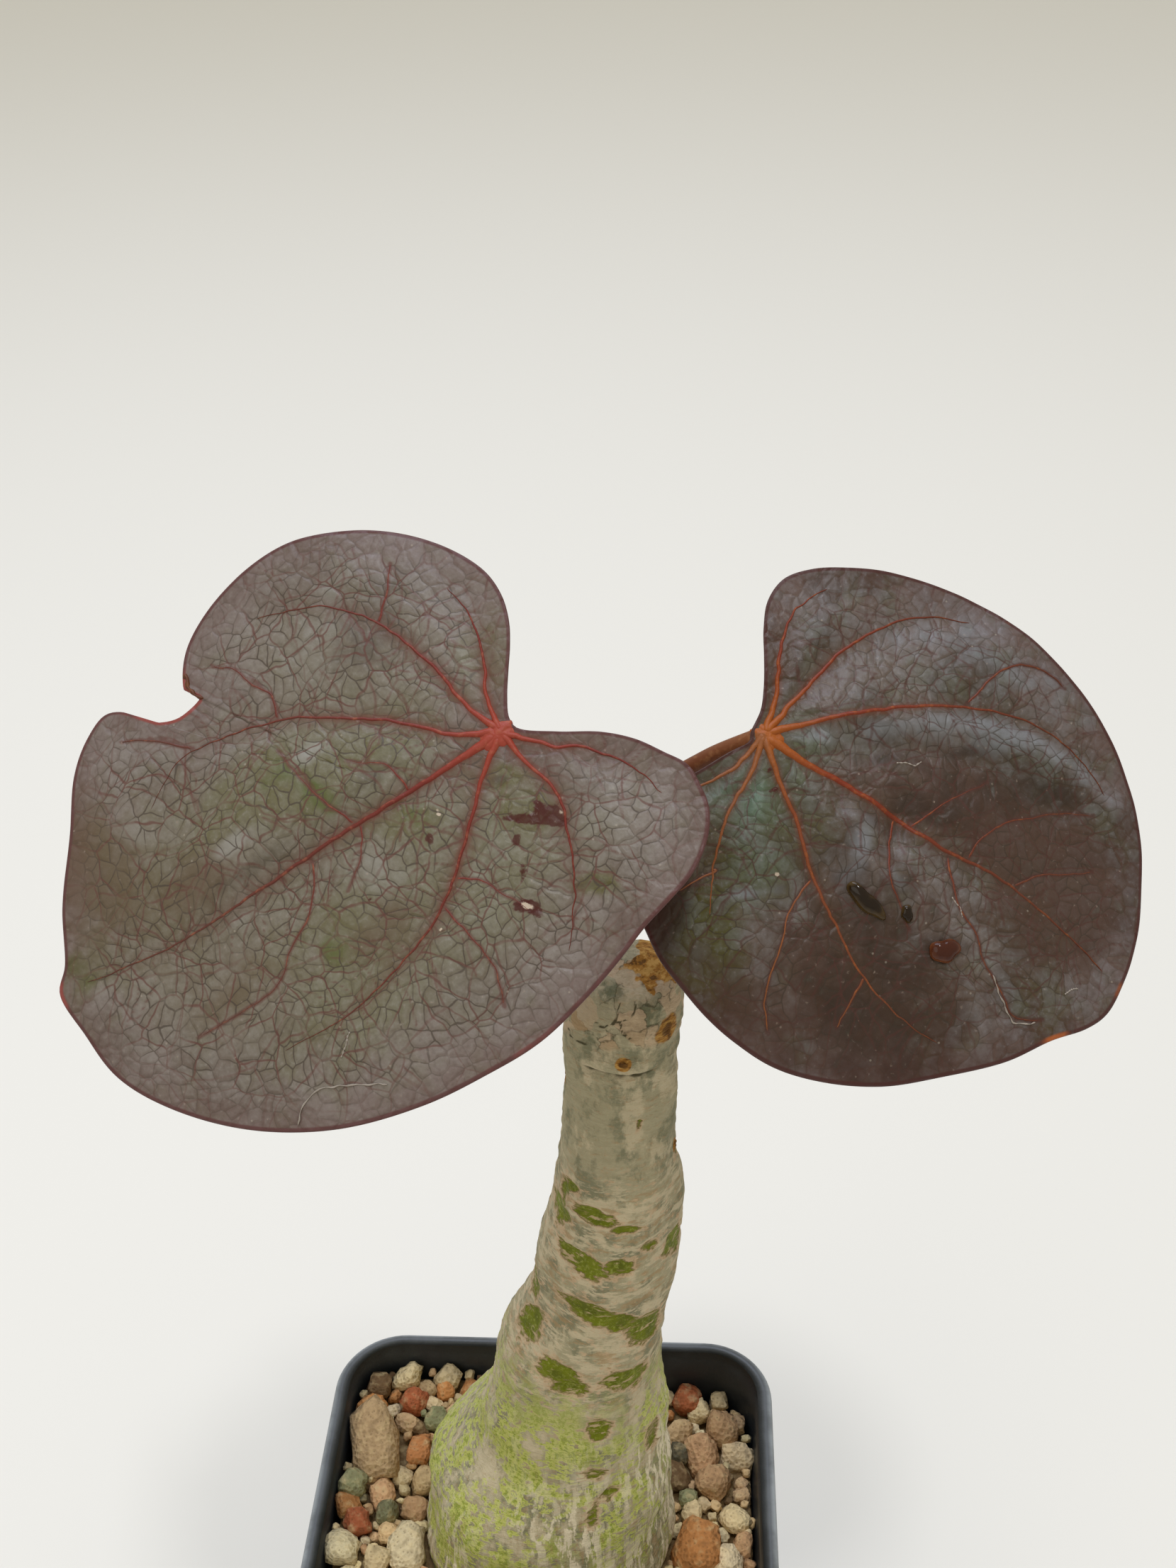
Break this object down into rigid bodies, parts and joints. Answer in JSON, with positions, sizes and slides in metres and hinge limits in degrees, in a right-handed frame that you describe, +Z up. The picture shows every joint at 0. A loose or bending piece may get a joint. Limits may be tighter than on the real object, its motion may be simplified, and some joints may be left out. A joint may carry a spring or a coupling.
{
  "type": "potted plant",
  "caption": "Young potted succulent shrub: swollen peeling stem in gritty substrate in a square black pot, with round heart-based leaves on slim petioles.",
  "frame": {"origin": "centre of the pot's underside", "axes": "+Z up along the pot's height, X and Y square to the pot's sides, the leaves' upper faces look towards -Y and up"},
  "size_m": [0.1246, 0.075, 0.2428],
  "materials": {
    "pot_plastic": "satin",
    "grit": "matte",
    "bark": "matte",
    "petiole": "satin",
    "leaf_left": "satin",
    "leaf_right": "satin"
  },
  "bodies": {
    "root": {"pot": "pot_plastic", "substrate": "grit", "stem": "bark", "petiole_left": "petiole", "petiole_right": "petiole", "leaf_blade_left": "leaf_left", "leaf_blade_right": "leaf_right"}
  },
  "joints": []
}
